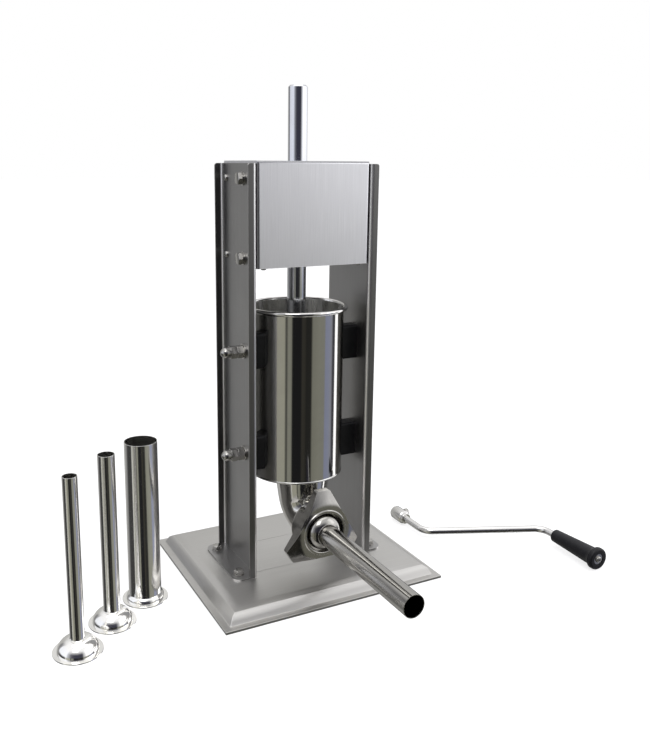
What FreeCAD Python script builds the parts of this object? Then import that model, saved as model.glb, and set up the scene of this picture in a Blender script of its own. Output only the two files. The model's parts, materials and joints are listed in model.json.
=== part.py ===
"""Vertical sausage stuffer: rack-driven press on a sheet base, with its loose crank and spare tubes.

Millimetres, +Z up. The origin is the centre of the base's footprint, on the surface it stands on.
+X is the crank side, -Y is the outlet side. The press stands with its piston part way down.
"""

import FreeCAD, Part
import math
import os

from FreeCAD import Base

Vec = Base.Vector

# ---- driving dimensions -------------------------------------------------------------------
BASE_X = 354.0             # base pan, outside
BASE_Y = 304.0
BASE_H = 20.0              # top of the raised platform
BASE_T = 2.0               # sheet thickness
BASE_RIM = 10.0            # flat flange round the pan
RIM_H = 4.0
BASE_INSET = 33.4          # rim edge to platform edge

COL_IN = 90.0              # inner face of each column's web, from the middle
COL_T = 2.5
COL_FLANGE = 13.0          # flange, measured from the web's inner face
COL_Y = 62.0               # half the column's width
COL_TOP = 621.0
WEB_OUT = COL_IN + COL_T
COL_BEND = 5.5             # outside radius of each fold
COL_CORNER = 3.5           # rounded top corners of the flanges
FOOT_OUT = 126.3           # outer edge of the foot tab
FOOT_BOLT_X = 113.0
FOOT_BOLT_Y = 44.0
FOOT_SCREW_R = 4.0
FOOT_HEX = 13.0            # across flats
FOOT_WASHER_T = 1.6
FOOT_INSET = 50.0          # rubber feet, from the pan's edges

AXIS_Y = -4.0              # cylinder and rod axis, in Y
CYL_R = 71.0               # barrel outside radius
CYL_WALL = 1.0
CYL_BOTTOM = 157.0
CYL_TOP = 415.0
BEAD_R = 3.4               # rolled rim, section radius
FLOOR_T = 2.5

ELBOW_Z = 90.0             # outlet axis height
ELBOW_Y = -28.0            # its mouth under the barrel lies ahead of the barrel's axis
ELBOW_END = -66.0          # where it meets the collar, along Y
ELBOW_RADII = (41.0, 39.4, 37.5, 35.4, 33.1, 30.5, 27.5)    # outside, from the barrel to the collar
ELBOW_T = 2.0
COLLAR_FACE = -90.0        # end of the collar, along Y
COLLAR_R = 37.5            # its back flange
THREAD_R = 33.5
THREAD_PITCH = 4.0

GASKET_T = 2.0
TUBE_FLANGE_R = 32.6
TUBE_FLANGE_T = 1.5
DOME_R = 27.0
DOME_H = 19.0
TUBE_WALL = 0.8
TUBE_LENGTH = 236.0
TUBE_R = 15.75             # mounted stuffing tube
SPARE_TUBES = {            # name: (x, y, tube radius, height)
    "spare_tube_small": (-361.8, -99.0, 9.6, 239.6),
    "spare_tube_medium": (-304.5, -51.0, 11.5, 242.6),
    "spare_tube_large": (-245.4, -8.0, 23.2, 238.5),
}

NUT_FRONT = -104.0         # wing nut, along Y
NUT_BACK = -71.6
NUT_MOUTH_R = 29.8
NUT_BORE_R = 34.2
NUT_HUB_R = 40.0
NUT_WING_R = 62.5          # to the flat end of each wing
NUT_WING_HALF = 10.5       # half the width of that end
NUT_WING_DEPTH = 17.0
NUT_WING_ANGLES = (90.0, 210.0, 330.0)

ROD_R = 14.0
ROD_TOP = 730.0
PISTON_Z = 263.0           # underside of the piston's lower plate, as it stands
PISTON_R = 68.5
SEAL_R = 69.7              # 0.3 mm from the barrel's bore
PLATE_GAUGE = 4.0          # each piston plate
PISTON_TOP = PISTON_Z + 14.0
ROD_STUD_R = 7.0           # the rod's lower end, through the piston
VALVE_X = 38.0
VALVE_R = 5.0

GEARBOX_BOTTOM = 478.0
COVER_TOP = 624.5
COVER_X = 88.8             # half the cover's width
COVER_T = 1.5
COVER_Y = 60.0
TRAY_T = 1.3               # closing plate under the gearbox
TRAY_SCREWS = (76.0, 52.0)
PLATE_T = 4.0              # gearbox side plates
PLATE_LOW = 481.0
PLATE_HIGH = 619.0
CROSS_LOW = (483.0, 495.0)
CROSS_HIGH = (594.0, 606.0)

RACK_MODULE = 2.0
RACK_TEETH = 50
RACK_BELOW = 30            # gaps below the pinion as the press stands
RACK_LINE = 9.0            # rack pitch line behind the rod's axis
RACK_PINION_TEETH = 14
GEAR_MODULE = 1.5
LARGE_TEETH = 48
SLOW_TEETH = 14
PRESSURE = math.radians(25.0)
BACKLASH = 0.2
FAST_Z = 534.0
SHAFT_R = 6.0
SHAFT_END = 130.0
SHAFT_PLAY = 0.05          # radial, in the bushes
BUSH_R = 9.0
GUIDE_R = 18.0             # the rod's guide bushes

STUD_Y = -20.0
STUD_R = 5.0
STUD_HEX = 17.0            # across flats
STUD_Z = {"upper": 355.0, "lower": 200.5}
STUD_FROM = 75.0           # inner end of each stud, in its lug
LUG_SIZE = (26.0, 52.0)    # along Y and Z
BOLT_Y = -19.0             # gearbox bolts and screws, into the ends of the cross members
BOLT_R = 5.0
SCREW_Y = 41.0
SCREW_R = 2.5
SMALL_SCREW_R = 2.0        # cover and tray screws
COVER_SCREW_Z = (500.0, 600.0)

CRANK_ROD_R = 5.5
CRANK_X = 234.0                   # socket axis
CRANK_RADIUS = 179.0
CRANK_TILT = 2.0                  # degrees, the arm lies on its socket and the grip's flare
CRANK_Z = 11.5
GRIP_NEAR = -146.0                # grip, along Y
GRIP_FAR = -240.0
BAR_END = GRIP_FAR + 2.7          # just proud of the grip's screw recess
BAR_BEND_R = 24.0
SOCKET_BACK = 26.0                # socket ends, along Y
SOCKET_MOUTH = 60.0
SOCKET_R = 11.2
SET_SCREW_Y = 48.0

ORIGIN = Vec(0, 0, 0)
X = Vec(1, 0, 0)
Y = Vec(0, 1, 0)
Z = Vec(0, 0, 1)

FAST_Y = AXIS_Y + RACK_LINE + RACK_MODULE * RACK_PINION_TEETH / 2
SLOW_Z = FAST_Z + GEAR_MODULE * (LARGE_TEETH + SLOW_TEETH) / 2
FAST_PINS = [(15.0, FAST_Z, 10.2), (29.0, FAST_Z, 11.7)]     # x, z, half length of each hub's cross pin
SLOW_PINS = [(55.0, SLOW_Z, 8.1)]


# ---- helpers ------------------------------------------------------------------------------
def box(low, high):
    """A box between two corners."""
    size = [b - a for a, b in zip(low, high)]
    return Part.makeBox(size[0], size[1], size[2], Vec(*low))


def rod(radius, start, end):
    """A cylinder from one point to another."""
    a, b = Vec(*start), Vec(*end)
    return Part.makeCylinder(radius, (b - a).Length, a, b - a)


def cone(r1, r2, start, end):
    a, b = Vec(*start), Vec(*end)
    return Part.makeCone(r1, r2, (b - a).Length, a, b - a)


def ring(outer, inner, start, end):
    return rod(outer, start, end).cut(rod(inner, start, end))


def union(shapes):
    shapes = list(shapes)
    if len(shapes) == 1:
        return shapes[0]
    return shapes[0].multiFuse(shapes[1:]).removeSplitter()


def both_sides(shape):
    """The shape and its mirror image across X = 0."""
    return [shape, shape.mirror(ORIGIN, X)]


def hexagon(across, start, end, turn=0.0):
    """A hexagonal prism with lightly turned corners, from start to end."""
    a, b = Vec(*start), Vec(*end)
    corner = across / math.sqrt(3)
    points = []
    for k in range(6):
        angle = math.radians(60 * k + turn)
        points.append(Vec(corner * math.cos(angle), corner * math.sin(angle), 0))
    height = (b - a).Length
    prism = Part.Face(Part.makePolygon(points + points[:1])).extrude(Vec(0, 0, height))
    turned = Part.makeCone(across / 2 - 0.3, across / 2 - 0.3 + 2 * height, height)
    flipped = turned.mirror(Vec(0, 0, height / 2), Z)
    prism = prism.common(turned).common(flipped)
    prism.Placement = Base.Placement(a, Base.Rotation(Z, b - a))
    return prism


def revolve(points, base=ORIGIN, axis=Z):
    """A closed outline of (radius, height) points turned about an axis.

    A point is (r, h), or (r, h, "via") for the middle point of an arc.
    """
    edges = []
    start = points[0]
    k = 1
    ring_points = points + [points[0]]
    while k < len(ring_points):
        target = ring_points[k]
        here = Vec(start[0], 0, start[1])
        if len(target) == 3:
            end = ring_points[k + 1]
            arc = Part.Arc(here, Vec(target[0], 0, target[1]), Vec(end[0], 0, end[1]))
            edges.append(arc.toShape())
            k += 1
            target = end
        else:
            edges.append(Part.LineSegment(here, Vec(target[0], 0, target[1])).toShape())
        start = target
        k += 1
    solid = Part.Face(Part.Wire(edges)).revolve(ORIGIN, Z, 360)
    solid.Placement = Base.Placement(base, Base.Rotation(Z, axis))
    return solid


def frustum(half_x, half_y, z, half_x2, half_y2, z2):
    """A solid between two centred rectangles at two heights."""
    wires = []
    for hx, hy, h in ((half_x, half_y, z), (half_x2, half_y2, z2)):
        corners = [Vec(-hx, -hy, h), Vec(hx, -hy, h), Vec(hx, hy, h), Vec(-hx, hy, h)]
        wires.append(Part.makePolygon(corners + corners[:1]))
    return Part.makeLoft(wires, True, True)


def involute_tooth(module, teeth, flank_points=5):
    """Half a tooth's flank as (radius, half angle) pairs, from root to tip."""
    pitch_r = module * teeth / 2
    base_r = pitch_r * math.cos(PRESSURE)
    root_r = pitch_r - 1.25 * module
    tip_r = pitch_r + 0.95 * module
    half_at_pitch = (math.pi * module / 2 - BACKLASH / 2) / 2 / pitch_r
    inv_pressure = math.tan(PRESSURE) - PRESSURE
    flank = []
    low = max(base_r, root_r)
    for k in range(flank_points):
        r = low + (tip_r - low) * k / (flank_points - 1)
        alpha = math.acos(base_r / r)
        flank.append((r, half_at_pitch + inv_pressure - (math.tan(alpha) - alpha)))
    if root_r < base_r:
        flank.insert(0, (root_r, flank[0][1]))
    return flank


def spur_gear(module, teeth, x0, x1, centre, tooth_angle, bore):
    """A spur gear about X, with one tooth at tooth_angle degrees from +Y towards +Z."""
    flank = involute_tooth(module, teeth)
    points = []
    for k in range(teeth):
        middle = math.radians(tooth_angle) + 2 * math.pi * k / teeth
        side = [(r, middle - half) for r, half in flank]
        side += [(r, middle + half) for r, half in reversed(flank)]
        points += [Vec(x0, centre[0] + r * math.cos(a), centre[1] + r * math.sin(a)) for r, a in side]
    face = Part.Face(Part.makePolygon(points + points[:1]))
    gear = face.extrude(Vec(x1 - x0, 0, 0))
    return gear.cut(rod(bore, (x0 - 1, *centre), (x1 + 1, *centre)))


# ---- base and columns ---------------------------------------------------------------------
def base_steps(offset):
    """The pan's bevel as (inset, height) pairs, moved inwards and down by offset."""
    steps = [(0, RIM_H), (BASE_RIM, RIM_H), (12.5, 8), (15, 13.5), (21, 17.5), (BASE_INSET, BASE_H)]
    return [(inset + offset, max(height - offset, 0)) for inset, height in steps]


def base_body(offset):
    """The pan as a solid, its outline moved inwards and down by offset."""
    layers = []
    steps = base_steps(offset)
    rim = steps[0]
    layers.append(box((-BASE_X / 2 + rim[0], -BASE_Y / 2 + rim[0], 0),
                      (BASE_X / 2 - rim[0], BASE_Y / 2 - rim[0], rim[1])))
    for (a, low), (b, high) in zip(steps[1:], steps[2:]):
        layers.append(frustum(BASE_X / 2 - a, BASE_Y / 2 - a, low, BASE_X / 2 - b, BASE_Y / 2 - b, high))
    return union(layers)


def foot_positions():
    return [(sx * FOOT_BOLT_X, sy * FOOT_BOLT_Y) for sx in (-1, 1) for sy in (-1, 1)]


def base_plate():
    pan = base_body(0).cut(base_body(BASE_T))
    for x, y in foot_positions():
        pan = pan.cut(rod(FOOT_SCREW_R, (x, y, 0), (x, y, BASE_H + 1)))
    return pan


def rubber_feet():
    feet = []
    for sx in (-1, 1):
        for sy in (-1, 1):
            x, y = sx * (BASE_X / 2 - FOOT_INSET), sy * (BASE_Y / 2 - FOOT_INSET)
            feet.append(cone(11, 13, (x, y, 0), (x, y, BASE_H - BASE_T)))
    return feet


def column(side_holes):
    """The right-hand column: web, two flanges turned outwards, and a foot tab.

    side_holes are (radius, y, z) for further holes in the web.
    """
    out = COL_IN + COL_FLANGE
    low = BASE_H
    outline = [Vec(COL_IN, -COL_Y, low), Vec(out, -COL_Y, low), Vec(out, COL_Y, low), Vec(COL_IN, COL_Y, low)]
    bar = Part.Face(Part.makePolygon(outline + outline[:1])).extrude(Vec(0, 0, COL_TOP - low))
    bends = [e for e in bar.Edges if is_upright(e) and abs(e.Vertexes[0].X - COL_IN) < 0.1]
    bar = bar.makeFillet(COL_BEND, bends)
    top_corners = [e for e in bar.Edges if runs_along(e, Y) and e.CenterOfMass.z > COL_TOP - 1
                   and e.CenterOfMass.x > out - 1]
    bar = bar.makeFillet(COL_CORNER, top_corners)
    hollow = box((COL_IN + COL_T, -COL_Y + COL_T, low - 1), (out + 1, COL_Y - COL_T, COL_TOP + 1))
    inner_bends = [e for e in hollow.Edges if is_upright(e) and abs(e.Vertexes[0].X - COL_IN - COL_T) < 0.1]
    bar = bar.cut(hollow.makeFillet(COL_BEND - COL_T, inner_bends))
    tab = box((COL_IN, -COL_Y, low), (FOOT_OUT, COL_Y, low + COL_T))
    corners = [e for e in tab.Edges if is_upright(e) and e.CenterOfMass.x > FOOT_OUT - 1]
    tab = tab.makeFillet(13.0, corners)
    tab_bends = [e for e in tab.Edges if is_upright(e) and e.CenterOfMass.x < COL_IN + 1]
    tab = tab.makeFillet(COL_BEND, tab_bends)
    bar = union([bar, tab])
    for sy in (-1, 1):
        bar = bar.cut(rod(FOOT_SCREW_R, (FOOT_BOLT_X, sy * FOOT_BOLT_Y, low - 1),
                          (FOOT_BOLT_X, sy * FOOT_BOLT_Y, low + COL_T + 1)))
    holes = [(STUD_R, STUD_Y, z) for z in STUD_Z.values()]
    for span in (CROSS_LOW, CROSS_HIGH):
        holes.append((BOLT_R, BOLT_Y, sum(span) / 2))
        holes.append((SCREW_R, SCREW_Y, sum(span) / 2))
    for radius, y, z in holes + side_holes:
        bar = bar.cut(rod(radius, (COL_IN - 1, y, z), (WEB_OUT + 1, y, z)))
    return bar


def is_upright(edge):
    return runs_along(edge, Z)


def runs_along(edge, direction):
    if len(edge.Vertexes) < 2:
        return False
    along = edge.Vertexes[1].Point - edge.Vertexes[0].Point
    return along.Length > 1e-6 and abs(along.normalize().dot(direction)) > 0.999


def foot_bolts():
    top = BASE_H + COL_T + FOOT_WASHER_T
    bolts = []
    for x, y in foot_positions():
        head = hexagon(FOOT_HEX, (x, y, top), (x, y, top + 5.3))
        shank = rod(FOOT_SCREW_R, (x, y, BASE_H - 12), (x, y, top + 1))
        bolts.append(union([head, shank]))
    return bolts


def foot_washers():
    low = BASE_H + COL_T
    return [ring(8.0, FOOT_SCREW_R, (x, y, low), (x, y, low + FOOT_WASHER_T)) for x, y in foot_positions()]


def foot_nuts():
    top = BASE_H - BASE_T
    nuts = []
    for x, y in foot_positions():
        nut = hexagon(FOOT_HEX, (x, y, top - 6.5), (x, y, top))
        nuts.append(nut.cut(rod(FOOT_SCREW_R, (x, y, top - 8), (x, y, top + 1))))
    return nuts


# ---- gearbox shell ------------------------------------------------------------------------
def gearbox_plate(side_holes):
    """Right-hand side plate, with a flange turned inwards at the back for the cover."""
    inner = COL_IN - PLATE_T
    back = COVER_Y - COVER_T
    plate = box((inner, -48, PLATE_LOW), (COL_IN, back, PLATE_HIGH))
    flange = box((inner - 12, back - 3, PLATE_LOW), (inner + 1, back, PLATE_HIGH - 5))
    plate = union([plate, flange])
    holes = list(side_holes)
    for span in (CROSS_LOW, CROSS_HIGH):
        holes.append((BOLT_R, BOLT_Y, sum(span) / 2))
        holes.append((SCREW_R, SCREW_Y, sum(span) / 2))
    for radius, y, z in holes:
        plate = plate.cut(rod(radius, (inner - 1, y, z), (COL_IN + 1, y, z)))
    for z in COVER_SCREW_Z:
        plate = plate.cut(rod(SMALL_SCREW_R, (inner - 6, back - 8, z), (inner - 6, back + 1, z)))
    return plate


def cross_member(span):
    """A bar between the side plates, bored for the rod's guide bush and tapped at its ends."""
    low, high = span
    inner = COL_IN - PLATE_T
    bar = box((-inner, -40, low), (inner, 50, high))
    bar = bar.cut(rod(GUIDE_R, (0, AXIS_Y, low - 1), (0, AXIS_Y, high + 1)))
    middle = (low + high) / 2
    for side in (-1, 1):
        bolt_end = (side * (inner + 1), BOLT_Y, middle)
        bar = bar.cut(rod(BOLT_R, (side * (inner - 22), BOLT_Y, middle), bolt_end))
        screw_end = (side * (inner + 1), SCREW_Y, middle)
        bar = bar.cut(rod(SCREW_R, (side * (inner - 18), SCREW_Y, middle), screw_end))
    return bar


def rod_guide(span, flange_low):
    """A flanged bush in a cross member, bored to run on the rod."""
    low, high = span
    bore = ROD_R + SHAFT_PLAY
    body = ring(GUIDE_R, bore, (0, AXIS_Y, low), (0, AXIS_Y, high))
    start = low - 3 if flange_low else high
    flange = ring(GUIDE_R + 5, bore, (0, AXIS_Y, start), (0, AXIS_Y, start + 3))
    return union([body, flange])


def gearbox_cover():
    """One sheet, open below: front, top and back, with returns and tabs for the tray's screws."""
    r = 4.0
    outside = box((-COVER_X, -COVER_Y, GEARBOX_BOTTOM), (COVER_X, COVER_Y, COVER_TOP))
    bends = [e for e in outside.Edges if runs_along(e, X) and e.CenterOfMass.z > COVER_TOP - 1]
    bends += [e for e in outside.Edges if is_upright(e) and e.CenterOfMass.y < 0]
    outside = outside.makeFillet(r, bends)
    inside = box((-COVER_X + COVER_T, -COVER_Y + COVER_T, GEARBOX_BOTTOM - 1),
                 (COVER_X - COVER_T, COVER_Y - COVER_T, COVER_TOP - COVER_T))
    bends = [e for e in inside.Edges if runs_along(e, X) and e.CenterOfMass.z > COVER_TOP - 3]
    bends += [e for e in inside.Edges if is_upright(e) and e.CenterOfMass.y < 0]
    shell = outside.cut(inside.makeFillet(r - COVER_T, bends))
    window = box((COVER_X - COVER_T - 1, -49, GEARBOX_BOTTOM - 1),
                 (COVER_X + 1, COVER_Y + 1, PLATE_HIGH + 0.5))
    for opening in both_sides(window):
        shell = shell.cut(opening)
    shell = shell.cut(rod(ROD_R + 3, (0, AXIS_Y, COVER_TOP - 5), (0, AXIS_Y, COVER_TOP + 1)))
    back = box((-COVER_X, COVER_Y - COVER_T, GEARBOX_BOTTOM), (COVER_X, COVER_Y, 612))
    tray_top = GEARBOX_BOTTOM + TRAY_T
    tab = box((TRAY_SCREWS[0] - 8, TRAY_SCREWS[1] - 7, tray_top),
              (TRAY_SCREWS[0] + 8, COVER_Y - COVER_T + 0.5, tray_top + COVER_T))
    tab = tab.cut(rod(SMALL_SCREW_R, (*TRAY_SCREWS, tray_top - 1), (*TRAY_SCREWS, tray_top + 3)))
    tabs = [piece for row in both_sides(tab) for piece in (row, row.mirror(ORIGIN, Y))]
    shell = union([shell, back] + tabs)
    for x, z in cover_screw_places():
        shell = shell.cut(rod(SMALL_SCREW_R, (x, COVER_Y - 3, z), (x, COVER_Y + 1, z)))
    return shell


def cover_screw_places():
    x = COL_IN - PLATE_T - 6
    return [(sx * x, z) for sx in (-1, 1) for z in COVER_SCREW_Z]


def pan_head(radius, height, shank, start, direction, length):
    """A cross-head screw: the head grows from start along direction, the shank runs the other way."""
    head = revolve([(0, 0), (radius, 0), (radius, height * 0.45), (radius * 0.8, height * 0.88, "via"),
                    (radius * 0.3, height), (0, height)])
    slot = radius * 1.1
    for turn in (0, 90):
        cross = box((-slot / 2, -0.5, height * 0.45), (slot / 2, 0.5, height + 1))
        cross.rotate(ORIGIN, Z, turn)
        head = head.cut(cross)
    shank_body = Part.makeCylinder(shank, length, ORIGIN, Vec(0, 0, -1))
    screw = union([head, shank_body])
    screw.Placement = Base.Placement(Vec(*start), Base.Rotation(Z, Vec(*direction)))
    return screw


def gearbox_tray():
    """Plate that closes the gearbox from below, round the rod's lower guide."""
    gap = 0.3
    half_x, half_y = COVER_X - COVER_T - gap, COVER_Y - COVER_T - gap
    tray = box((-half_x, -half_y, GEARBOX_BOTTOM), (half_x, half_y, GEARBOX_BOTTOM + TRAY_T))
    tray = tray.makeFillet(3.0, [e for e in tray.Edges if is_upright(e)])
    tray = tray.cut(rod(GUIDE_R + 8, (0, AXIS_Y, GEARBOX_BOTTOM - 1), (0, AXIS_Y, GEARBOX_BOTTOM + 3)))
    for x, y in tray_screw_places():
        tray = tray.cut(rod(SMALL_SCREW_R, (x, y, GEARBOX_BOTTOM - 1), (x, y, GEARBOX_BOTTOM + 3)))
    return tray


def tray_screw_places():
    return [(sx * TRAY_SCREWS[0], sy * TRAY_SCREWS[1]) for sx in (-1, 1) for sy in (-1, 1)]


def small_screw(start, direction, length):
    return pan_head(3.8, 2.6, SMALL_SCREW_R, start, direction, length)


def tray_screws():
    return [small_screw((x, y, GEARBOX_BOTTOM), (0, 0, -1), 5.0) for x, y in tray_screw_places()]


def cover_screws():
    return [small_screw((x, COVER_Y, z), (0, 1, 0), 6.0) for x, z in cover_screw_places()]


def gearbox_screws():
    screws = []
    for low, high in (CROSS_LOW, CROSS_HIGH):
        start = (WEB_OUT, SCREW_Y, (low + high) / 2)
        screw = pan_head(5.0, 3.4, SCREW_R, start, (1, 0, 0), 20.0)
        screws += both_sides(screw)
    return screws


def gearbox_bolts():
    bolts = []
    start = WEB_OUT + 3.6
    for low, high in (CROSS_LOW, CROSS_HIGH):
        z = (low + high) / 2
        head = hexagon(16.0, (start, BOLT_Y, z), (start + 5.6, BOLT_Y, z), 30)
        shank = rod(BOLT_R, (COL_IN - PLATE_T - 20, BOLT_Y, z), (start + 1, BOLT_Y, z))
        bolts += both_sides(union([head, shank]))
    return bolts


def gearbox_bolt_washers():
    """A flat washer and a spring washer under each bolt head."""
    washers = []
    face = WEB_OUT
    for low, high in (CROSS_LOW, CROSS_HIGH):
        z = (low + high) / 2
        flat = ring(9.6, BOLT_R, (face, BOLT_Y, z), (face + 1.5, BOLT_Y, z))
        spring = ring(8.2, BOLT_R, (face + 1.6, BOLT_Y, z), (face + 3.6, BOLT_Y, z))
        gap = box((face + 2, BOLT_Y - 0.6, z), (face + 6, BOLT_Y + 0.6, z + 10))
        spring = spring.cut(gap)
        washers += both_sides(flat) + both_sides(spring)
    return washers


# ---- gear train ---------------------------------------------------------------------------
def shaft(z, left_end):
    """A shaft with turned end chamfers and a groove where its free end begins."""
    body = rod(SHAFT_R, (left_end, FAST_Y, z), (SHAFT_END, FAST_Y, z))
    body = body.makeChamfer(1.0, [e for e in body.Edges if e.Closed])
    groove = WEB_OUT + 2.0
    return body.cut(ring(SHAFT_R + 1, SHAFT_R - 0.5, (groove, FAST_Y, z), (groove + 1.5, FAST_Y, z)))


def shaft_circlips(z, places):
    clips = []
    for x in places:
        clip = ring(9.0, SHAFT_R, (x, FAST_Y, z), (x + 1.2, FAST_Y, z))
        clips.append(clip.cut(box((x - 1, FAST_Y - 1.5, z - 12), (x + 3, FAST_Y + 1.5, z))))
    return clips


def shaft_bushes():
    """Bronze bushes: blind on the left, through the web on the right, each with an inner flange."""
    bushes = []
    bore = SHAFT_R + SHAFT_PLAY
    inner = COL_IN - PLATE_T
    for z in (FAST_Z, SLOW_Z):
        right = union([ring(BUSH_R, bore, (inner, FAST_Y, z), (WEB_OUT + 1.5, FAST_Y, z)),
                       ring(BUSH_R + 3, bore, (inner - 2, FAST_Y, z), (inner, FAST_Y, z))])
        left = union([ring(BUSH_R, bore, (-COL_IN, FAST_Y, z), (-inner, FAST_Y, z)),
                      ring(BUSH_R + 3, bore, (-inner, FAST_Y, z), (-inner + 2, FAST_Y, z))])
        bushes += [right, left]
    return bushes


def rack_pinion():
    gear = spur_gear(RACK_MODULE, RACK_PINION_TEETH, -8, 8, (FAST_Y, FAST_Z), 180.0, SHAFT_R)
    hub = ring(10.5, SHAFT_R, (8, FAST_Y, FAST_Z), (20, FAST_Y, FAST_Z))
    return union([gear, hub])


def large_gear():
    gear = spur_gear(GEAR_MODULE, LARGE_TEETH, 36, 46, (FAST_Y, FAST_Z), 90.0, SHAFT_R)
    for k in range(5):
        angle = math.radians(72 * k + 54)
        y, z = FAST_Y + 22 * math.cos(angle), FAST_Z + 22 * math.sin(angle)
        gear = gear.cut(rod(7.0, (30, y, z), (50, y, z)))
    hub = ring(12.0, SHAFT_R, (24, FAST_Y, FAST_Z), (36, FAST_Y, FAST_Z))
    return union([gear, hub])


def slow_pinion():
    step = 360.0 / SLOW_TEETH
    gear = spur_gear(GEAR_MODULE, SLOW_TEETH, 34, 48, (FAST_Y, SLOW_Z), 270.0 + step / 2, SHAFT_R)
    hub = ring(8.4, SHAFT_R, (48, FAST_Y, SLOW_Z), (60, FAST_Y, SLOW_Z))
    return union([gear, hub])


def gear_pins(places):
    """Cross pins that fix a hub to its shaft."""
    return [rod(1.5, (x, FAST_Y - half, z), (x, FAST_Y + half, z)) for x, z, half in places]


# ---- press rod and piston -----------------------------------------------------------------
def press_rod():
    """Round rod with a rack milled into its back and a stud for the piston."""
    body = rod(ROD_R, (0, AXIS_Y, PISTON_TOP), (0, AXIS_Y, ROD_TOP))
    top = [e for e in body.Edges if e.Closed and e.CenterOfMass.z > ROD_TOP - 1]
    body = body.makeChamfer(2.5, top)
    pitch = math.pi * RACK_MODULE
    line = AXIS_Y + RACK_LINE
    root = line - 1.25 * RACK_MODULE
    tip = line + 0.95 * RACK_MODULE
    low = FAST_Z - RACK_BELOW * pitch
    half_gap = (pitch + BACKLASH) / 4
    low_end = low - pitch / 2
    high_end = low + (RACK_TEETH - 0.5) * pitch
    body = body.cut(box((-ROD_R, tip, low_end), (ROD_R, AXIS_Y + ROD_R + 1, high_end)))
    gaps = []
    for k in range(RACK_TEETH):
        z = low + k * pitch
        at_root = half_gap - (line - root) * math.tan(PRESSURE)
        at_tip = half_gap + (tip + 1 - line) * math.tan(PRESSURE)
        corners = [Vec(-ROD_R, root, z - at_root), Vec(-ROD_R, tip + 1, z - at_tip),
                   Vec(-ROD_R, tip + 1, z + at_tip), Vec(-ROD_R, root, z + at_root)]
        gaps.append(Part.Face(Part.makePolygon(corners + corners[:1])).extrude(Vec(2 * ROD_R, 0, 0)))
    body = body.cut(Part.makeCompound(gaps))
    stud = rod(ROD_STUD_R, (0, AXIS_Y, PISTON_Z - 10), (0, AXIS_Y, PISTON_TOP + 1))
    return union([body, stud])


def piston_disc(low, high, radius):
    disc = rod(radius, (0, AXIS_Y, low), (0, AXIS_Y, high))
    disc = disc.cut(rod(ROD_STUD_R, (0, AXIS_Y, low - 1), (0, AXIS_Y, high + 1)))
    return disc.cut(rod(VALVE_R, (VALVE_X, AXIS_Y, low - 1), (VALVE_X, AXIS_Y, high + 1)))


def piston_lower_plate():
    disc = piston_disc(PISTON_Z, PISTON_Z + PLATE_GAUGE, PISTON_R)
    rims = [e for e in disc.Edges if e.Closed and e.BoundBox.XLength > 2 * PISTON_R - 1
            and e.CenterOfMass.z < PISTON_Z + 1]
    return disc.makeFillet(2.5, rims)


def piston_upper_plate():
    return piston_disc(PISTON_TOP - PLATE_GAUGE, PISTON_TOP, PISTON_R)


def piston_seal():
    """A silicone disc with a lip above and below a relief groove."""
    low, high = PISTON_Z + PLATE_GAUGE, PISTON_TOP - PLATE_GAUGE
    outline = [(ROD_STUD_R, low), (SEAL_R - 1.2, low), (SEAL_R, low + 1.2), (SEAL_R, low + 2.0),
               (SEAL_R - 1.8, low + 3.0), (SEAL_R, high - 2.0), (SEAL_R, high - 1.2),
               (SEAL_R - 1.2, high), (ROD_STUD_R, high)]
    disc = revolve(outline, Vec(0, AXIS_Y, 0))
    return disc.cut(rod(VALVE_R, (VALVE_X, AXIS_Y, low - 1), (VALVE_X, AXIS_Y, high + 1)))


def piston_nut():
    """A hexagon nut with its washer face against the lower plate."""
    nut = hexagon(24.0, (0, AXIS_Y, PISTON_Z - 9), (0, AXIS_Y, PISTON_Z - 1.5))
    washer = rod(14.0, (0, AXIS_Y, PISTON_Z - 1.5), (0, AXIS_Y, PISTON_Z))
    return union([nut, washer]).cut(rod(ROD_STUD_R, (0, AXIS_Y, PISTON_Z - 12), (0, AXIS_Y, PISTON_Z + 1)))


def air_valve_seat():
    """A flanged sleeve through the piston that holds the vent pin."""
    top = PISTON_TOP
    body = rod(VALVE_R, (VALVE_X, AXIS_Y, PISTON_Z), (VALVE_X, AXIS_Y, top))
    flange = hexagon(14.0, (VALVE_X, AXIS_Y, top), (VALVE_X, AXIS_Y, top + 4))
    seat = union([body, flange])
    return seat.cut(rod(2.55, (VALVE_X, AXIS_Y, PISTON_Z - 1), (VALVE_X, AXIS_Y, top + 6)))


def air_valve_pin():
    """The vent pin: a stem with a knob above and a sealing head below."""
    top = PISTON_TOP
    stem = rod(2.5, (VALVE_X, AXIS_Y, PISTON_Z - 1.2), (VALVE_X, AXIS_Y, top + 16))
    head = cone(3.2, 4.6, (VALVE_X, AXIS_Y, PISTON_Z - 2.2), (VALVE_X, AXIS_Y, PISTON_Z - 0.1))
    knob = revolve([(0, 0), (4, 0), (6.5, 2), (6.5, 5), (5.2, 7.2, "via"), (3, 8), (0, 8)],
                   Vec(VALVE_X, AXIS_Y, top + 9))
    return union([stem, head, knob])


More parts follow.
